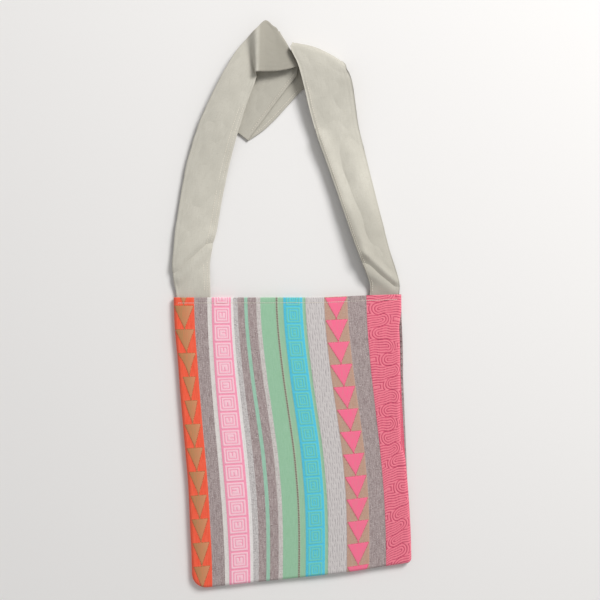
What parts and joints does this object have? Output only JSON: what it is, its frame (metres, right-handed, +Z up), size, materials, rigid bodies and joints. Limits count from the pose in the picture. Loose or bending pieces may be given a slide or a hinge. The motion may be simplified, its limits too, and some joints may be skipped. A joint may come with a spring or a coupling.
{
  "type": "woven shoulder bag",
  "caption": "Flat woven tote with lengthwise stripes, woven triangles and keys, and one wide canvas strap pleated and folded at its top, lying on its back.",
  "frame": {"origin": "middle of the floor plan of bag and strap together, on the floor", "axes": "+Z up from the floor through the front panel, +Y from the bag's bottom to the top of its strap"},
  "size_m": [0.3326, 0.7862, 0.0264],
  "materials": {
    "striped_cloth": "woven",
    "strap_canvas": "plain weave canvas",
    "thread": "matt"
  },
  "bodies": {
    "root": {"front_panel": "striped_cloth", "back_panel": "striped_cloth", "shoulder_strap": "strap_canvas", "hem_stitching_front": "thread", "hem_stitching_back": "thread", "side_seam_left": "thread", "side_seam_right": "thread", "bottom_seam": "thread", "strap_tack_left": "thread", "strap_tack_right": "thread", "strap_stitching_left_edge": "thread", "strap_stitching_left_inner": "thread", "strap_stitching_right": "thread"}
  },
  "joints": []
}
